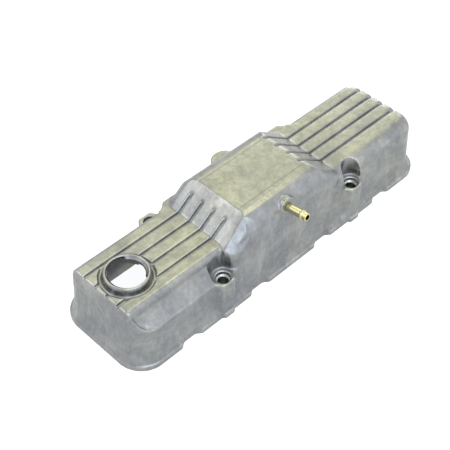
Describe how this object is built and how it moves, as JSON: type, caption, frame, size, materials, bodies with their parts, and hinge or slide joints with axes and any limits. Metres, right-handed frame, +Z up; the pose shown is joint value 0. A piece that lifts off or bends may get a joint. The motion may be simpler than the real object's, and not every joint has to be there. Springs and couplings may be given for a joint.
{
  "type": "engine valve cover",
  "caption": "Ribbed cast aluminium valve cover with a raised breather chamber, an oil filler neck and a brass breather nipple.",
  "frame": {"origin": "centre of the four cover bolts, on the gasket face", "axes": "+X along the engine away from the oil filler, +Y away from the breather nipple, +Z up out of the gasket face"},
  "size_m": [0.405, 0.1343, 0.0915],
  "materials": {
    "cast_aluminium": "as cast, tumbled, dull grey with machined seats",
    "brass": "turned",
    "sheet_steel": "pressed sheet",
    "zinc_plate": "zinc plated"
  },
  "bodies": {
    "root": {"cover_casting": "cast_aluminium", "breather_nipple": "brass", "baffle_plate": "sheet_steel", "baffle_screws": "zinc_plate"}
  },
  "joints": []
}
